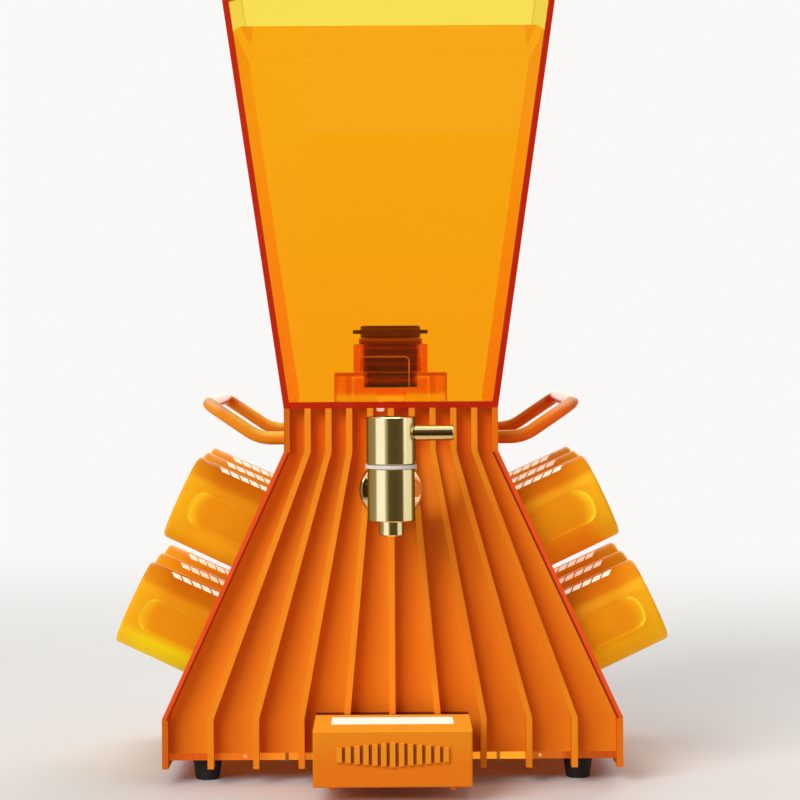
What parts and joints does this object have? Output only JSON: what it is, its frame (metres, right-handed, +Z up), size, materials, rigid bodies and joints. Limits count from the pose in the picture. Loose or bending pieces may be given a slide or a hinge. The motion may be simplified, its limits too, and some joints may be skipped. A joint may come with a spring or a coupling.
{
  "type": "party shot dispenser",
  "caption": "Tapered drink tank on a flared ribbed base with a turning side-lever tap, a lit cup stand and shot cups stored in the slanted sides.",
  "frame": {"origin": "on the plane the feet stand on, in the middle of the object's length and breadth", "axes": "+Z up, +X to the right of a person who faces the tap, +Y from the tap's side to the back"},
  "size_m": [0.279, 0.2176, 0.4408],
  "materials": {
    "clear_orange": "clear fluorescent orange acrylic",
    "satin_orange": "satin opaque orange acrylic",
    "cup_orange": "translucent orange plastic",
    "brass": "brushed pale brass",
    "black": "black moulded plastic",
    "pale": "pale plain plastic",
    "seal": "black rubber",
    "hose": "clear soft hose",
    "steel": "plain zinc-plated steel",
    "window": "opal white, lit from below"
  },
  "bodies": {
    "base": {"back_fins": "satin_orange", "back_wall": "satin_orange", "base_cheeks": "satin_orange", "base_rails": "satin_orange", "base_screws": "steel", "bottom_plate": "clear_orange", "feet": "black", "floor_plug": "pale", "front_fins": "satin_orange", "front_wall": "satin_orange", "hose_clips": "steel", "left_backplate": "satin_orange", "left_handle": "satin_orange", "left_side_panel": "clear_orange", "neck_deck": "satin_orange", "outlet_body": "black", "outlet_collar": "clear_orange", "outlet_nut": "black", "outlet_plinth": "clear_orange", "outlet_seal": "seal", "right_backplate": "satin_orange", "right_handle": "satin_orange", "right_side_panel": "clear_orange", "shank_nut": "brass", "stand_cover": "satin_orange", "stand_housing": "satin_orange", "stand_light": "pale", "stand_window": "window", "supply_hose": "hose", "tank_back_panel": "clear_orange", "tank_floor": "clear_orange", "tank_front_panel": "clear_orange", "tank_left_panel": "clear_orange", "tank_right_panel": "clear_orange", "tap_bonnet": "brass", "tap_lower_body": "brass", "tap_nozzle": "brass", "tap_rosette": "brass", "tap_shank": "brass", "tap_slip_ring": "pale"},
    "lid": {"lid_plate": "clear_orange", "lid_rim": "clear_orange", "lid_knob": "brass"},
    "tap_head": {"tap_upper_body": "brass", "tap_lever": "brass", "tap_stem": "brass", "stem_seals": "seal"},
    "inlet_cap": {"outlet_cap": "black"},
    "cup_left_1_1_body": {"cup_left_1_1": "cup_orange"},
    "cup_left_1_2_body": {"cup_left_1_2": "cup_orange"},
    "cup_left_1_3_body": {"cup_left_1_3": "cup_orange"},
    "cup_left_2_1_body": {"cup_left_2_1": "cup_orange"},
    "cup_left_2_2_body": {"cup_left_2_2": "cup_orange"},
    "cup_left_2_3_body": {"cup_left_2_3": "cup_orange"},
    "cup_right_1_1_body": {"cup_right_1_1": "cup_orange"},
    "cup_right_1_2_body": {"cup_right_1_2": "cup_orange"},
    "cup_right_1_3_body": {"cup_right_1_3": "cup_orange"},
    "cup_right_2_1_body": {"cup_right_2_1": "cup_orange"},
    "cup_right_2_2_body": {"cup_right_2_2": "cup_orange"},
    "cup_right_2_3_body": {"cup_right_2_3": "cup_orange"}
  },
  "joints": [
    {"name": "lid_lift", "type": "slide", "parent": "base", "child": "lid", "axis": [0, 0, 1], "range_m": [0, 0.06]},
    {"name": "tap_turn", "type": "hinge", "parent": "base", "child": "tap_head", "pos_m": [0, -0.08775, 0.1598], "axis": [0, 0, 1], "range_deg": [-90, 0]},
    {"name": "inlet_cap_turn", "type": "hinge", "parent": "base", "child": "inlet_cap", "pos_m": [0, 0.02475, 0.223], "axis": [0, 0, 1], "range_deg": [0, 90]},
    {"name": "cup_left_1_1_draw", "type": "slide", "parent": "base", "child": "cup_left_1_1_body", "axis": [-0.9078, 0, 0.4194], "range_m": [0, 0.065]},
    {"name": "cup_left_1_2_draw", "type": "slide", "parent": "base", "child": "cup_left_1_2_body", "axis": [-0.9078, 0, 0.4194], "range_m": [0, 0.065]},
    {"name": "cup_left_1_3_draw", "type": "slide", "parent": "base", "child": "cup_left_1_3_body", "axis": [-0.9078, 0, 0.4194], "range_m": [0, 0.065]},
    {"name": "cup_left_2_1_draw", "type": "slide", "parent": "base", "child": "cup_left_2_1_body", "axis": [-0.9078, 0, 0.4194], "range_m": [0, 0.065]},
    {"name": "cup_left_2_2_draw", "type": "slide", "parent": "base", "child": "cup_left_2_2_body", "axis": [-0.9078, 0, 0.4194], "range_m": [0, 0.065]},
    {"name": "cup_left_2_3_draw", "type": "slide", "parent": "base", "child": "cup_left_2_3_body", "axis": [-0.9078, 0, 0.4194], "range_m": [0, 0.065]},
    {"name": "cup_right_1_1_draw", "type": "slide", "parent": "base", "child": "cup_right_1_1_body", "axis": [0.9078, 0, 0.4194], "range_m": [0, 0.065]},
    {"name": "cup_right_1_2_draw", "type": "slide", "parent": "base", "child": "cup_right_1_2_body", "axis": [0.9078, 0, 0.4194], "range_m": [0, 0.065]},
    {"name": "cup_right_1_3_draw", "type": "slide", "parent": "base", "child": "cup_right_1_3_body", "axis": [0.9078, 0, 0.4194], "range_m": [0, 0.065]},
    {"name": "cup_right_2_1_draw", "type": "slide", "parent": "base", "child": "cup_right_2_1_body", "axis": [0.9078, 0, 0.4194], "range_m": [0, 0.065]},
    {"name": "cup_right_2_2_draw", "type": "slide", "parent": "base", "child": "cup_right_2_2_body", "axis": [0.9078, 0, 0.4194], "range_m": [0, 0.065]},
    {"name": "cup_right_2_3_draw", "type": "slide", "parent": "base", "child": "cup_right_2_3_body", "axis": [0.9078, 0, 0.4194], "range_m": [0, 0.065]}
  ]
}
